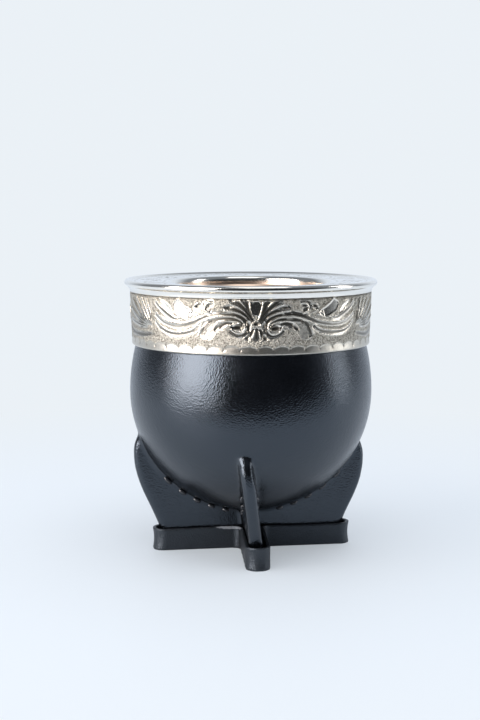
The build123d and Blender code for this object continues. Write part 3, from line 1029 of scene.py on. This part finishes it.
BACKDROP = (0.83, 0.88, 0.925)
TO_CAMERA = Vector((sin(VIEW_AZIMUTH), -cos(VIEW_AZIMUTH), 0))
TO_RIGHT = Vector((cos(VIEW_AZIMUTH), sin(VIEW_AZIMUTH), 0))
FLOOR_WIDTH = 8.0
FLOOR_DEPTH = 4.2
FLOOR_BACK = 1.9                 # how far its middle lies behind the cup
FADE_FROM = 0.12                 # the floor melts away between these distances
FADE_TO = 0.34
NEAR_FLOOR_GLOW = 0.33                      # how much the near floor glows with the backdrop's colour: painted light that lightens the cup's shadow
LAMPS_LOOK_AT = Vector((0, 0, 0.07))
ROOM_LEVEL = 0.02
TENT_SIDE = 0.22
TENT_BACK = 0.66
TENT_RIGHT = 0.05
FILL_LEVEL = 0.93                # the soft light that matt surfaces gather from all round
SKY = (0.86, 0.95, 1.08)


def stage_floor():
    """A pale plain floor that ends in front of the cup and melts into the backdrop."""
    deselect_all()
    bpy.ops.mesh.primitive_plane_add(size=1.0, location=(0, 0, 0))
    floor = bpy.context.active_object
    floor.name = "floor"
    floor.scale = (FLOOR_WIDTH, FLOOR_DEPTH, 1)
    floor.location = -TO_CAMERA * FLOOR_BACK
    floor.rotation_euler = (0, 0, VIEW_AZIMUTH)
    bpy.ops.object.transform_apply(location=True, rotation=True, scale=True)
    f = Finish("pale floor", Roughness=0.6, Specular_IOR_Level=0.3)
    f.set(Base_Color=(0.845, 0.86, 0.87, 1.0))
    far = f.add("ShaderNodeVectorMath", {"operation": "LENGTH"}, output="Value", Vector=f.place())
    path = f.add("ShaderNodeLightPath", output="Is Camera Ray")
    glow = f.tree.nodes.new("ShaderNodeEmission")
    glow.inputs["Color"].default_value = (*BACKDROP, 1)
    mix = f.tree.nodes.new("ShaderNodeMixShader")
    # camera rays see the floor partly as glowing backdrop colour: painted light over the cup's shadow near
    # it, plain backdrop far off
    feed(f.tree, mix.inputs[0], path * (NEAR_FLOOR_GLOW + (1 - NEAR_FLOOR_GLOW) * far.step(FADE_FROM, FADE_TO)))
    f.tree.links.new(f.shader.outputs[0], mix.inputs[1])
    f.tree.links.new(glow.outputs[0], mix.inputs[2])
    f.tree.links.new(mix.outputs[0], f.tree.nodes["Material Output"].inputs[0])
    floor.data.materials.append(f.material)


def softbox(name, azimuth, elevation, distance, width, height, radiance, colour=(1, 1, 1)):
    """A rectangular light round the cup: azimuth runs left from the camera's side."""
    lamp = bpy.data.lights.new(name, "AREA")
    lamp.shape = "RECTANGLE"
    lamp.size = width
    lamp.size_y = height
    lamp.energy = radiance * pi * width * height
    lamp.color = colour
    holder = bpy.data.objects.new(name, lamp)
    bpy.context.scene.collection.objects.link(holder)
    level = TO_CAMERA * cos(radians(azimuth)) - TO_RIGHT * sin(radians(azimuth))
    direction = level * cos(radians(elevation)) + Vector((0, 0, sin(radians(elevation))))
    holder.location = LAMPS_LOOK_AT + direction * distance
    holder.rotation_euler = (-direction).to_track_quat("-Z", "Y").to_euler()
    return holder


def world_light():
    """Pale tent behind and beside the cup, dark room behind the camera."""
    world = bpy.data.worlds.new("studio")
    bpy.context.scene.world = world
    world.use_nodes = True
    tree = world.node_tree
    coordinates = tree.nodes.new("ShaderNodeTexCoord")

    def towards(direction):
        dot = tree.nodes.new("ShaderNodeVectorMath")
        dot.operation = "DOT_PRODUCT"
        tree.links.new(coordinates.outputs["Generated"], dot.inputs[0])
        dot.inputs[1].default_value = direction
        return Wire(tree, dot.outputs["Value"])

    front = towards(TO_CAMERA)
    right = towards(TO_RIGHT)
    up = towards((0, 0, 1))
    room = front.step(0.10, 0.50) * (1 - up.step(0.40, 0.80))
    tent = TENT_SIDE + (front * -1).step(0.40, 0.85) * TENT_BACK + right.step(0.2, 0.9) * TENT_RIGHT
    level = tent * (1 - room) + ROOM_LEVEL * room
    path = tree.nodes.new("ShaderNodeLightPath")
    camera_ray = Wire(tree, path.outputs["Is Camera Ray"])
    glossy_ray = Wire(tree, path.outputs["Is Glossy Ray"])
    gathered = level * glossy_ray + FILL_LEVEL * (1 - glossy_ray)
    strength = gathered * (1 - camera_ray) + camera_ray
    mix = tree.nodes.new("ShaderNodeMix")
    mix.data_type = "RGBA"
    colours = [slot for slot in mix.inputs if slot.type == "RGBA"]
    feed(tree, mix.inputs["Factor"], camera_ray)
    colours[0].default_value = (*SKY, 1)
    colours[1].default_value = (*BACKDROP, 1)
    background = tree.nodes["Background"]
    tree.links.new([slot for slot in mix.outputs if slot.type == "RGBA"][0], background.inputs["Color"])
    feed(tree, background.inputs["Strength"], strength)


CAMERA_DISTANCE = 507.16 * MM
CAMERA_HEIGHT = 134.81 * MM
CAMERA_DOWN = 7.0                # degrees below level
LENS = 66.51
SHIFT = -0.015


def camera():
    """The camera, a little above the lip and looking slightly down."""
    data = bpy.data.cameras.new("camera")
    data.sensor_fit = "VERTICAL"
    data.sensor_height = 36.0
    data.lens = LENS
    data.shift_x = SHIFT
    data.clip_start = 0.01
    holder = bpy.data.objects.new("camera", data)
    bpy.context.scene.collection.objects.link(holder)
    holder.location = TO_CAMERA * CAMERA_DISTANCE + Vector((0, 0, CAMERA_HEIGHT))
    holder.rotation_euler = (radians(90 - CAMERA_DOWN), 0, VIEW_AZIMUTH)
    bpy.context.scene.camera = holder


stage_floor()
world_light()
softbox("left softbox", 54, 17, 0.5, 0.39, 0.42, 8.5, (1.0, 0.95, 0.93)).visible_diffuse = False
softbox("left wash", 58, 30, 0.85, 0.78, 0.66, 1.3, (1.0, 0.97, 0.95)).visible_glossy = False
softbox("right strip", -90, 17, 0.5, 0.12, 0.42, 3.4).visible_diffuse = False
softbox("overhead", -20, 72, 0.9, 0.5, 0.5, 1.6)
camera()
bpy.context.scene.view_settings.view_transform = "Standard"
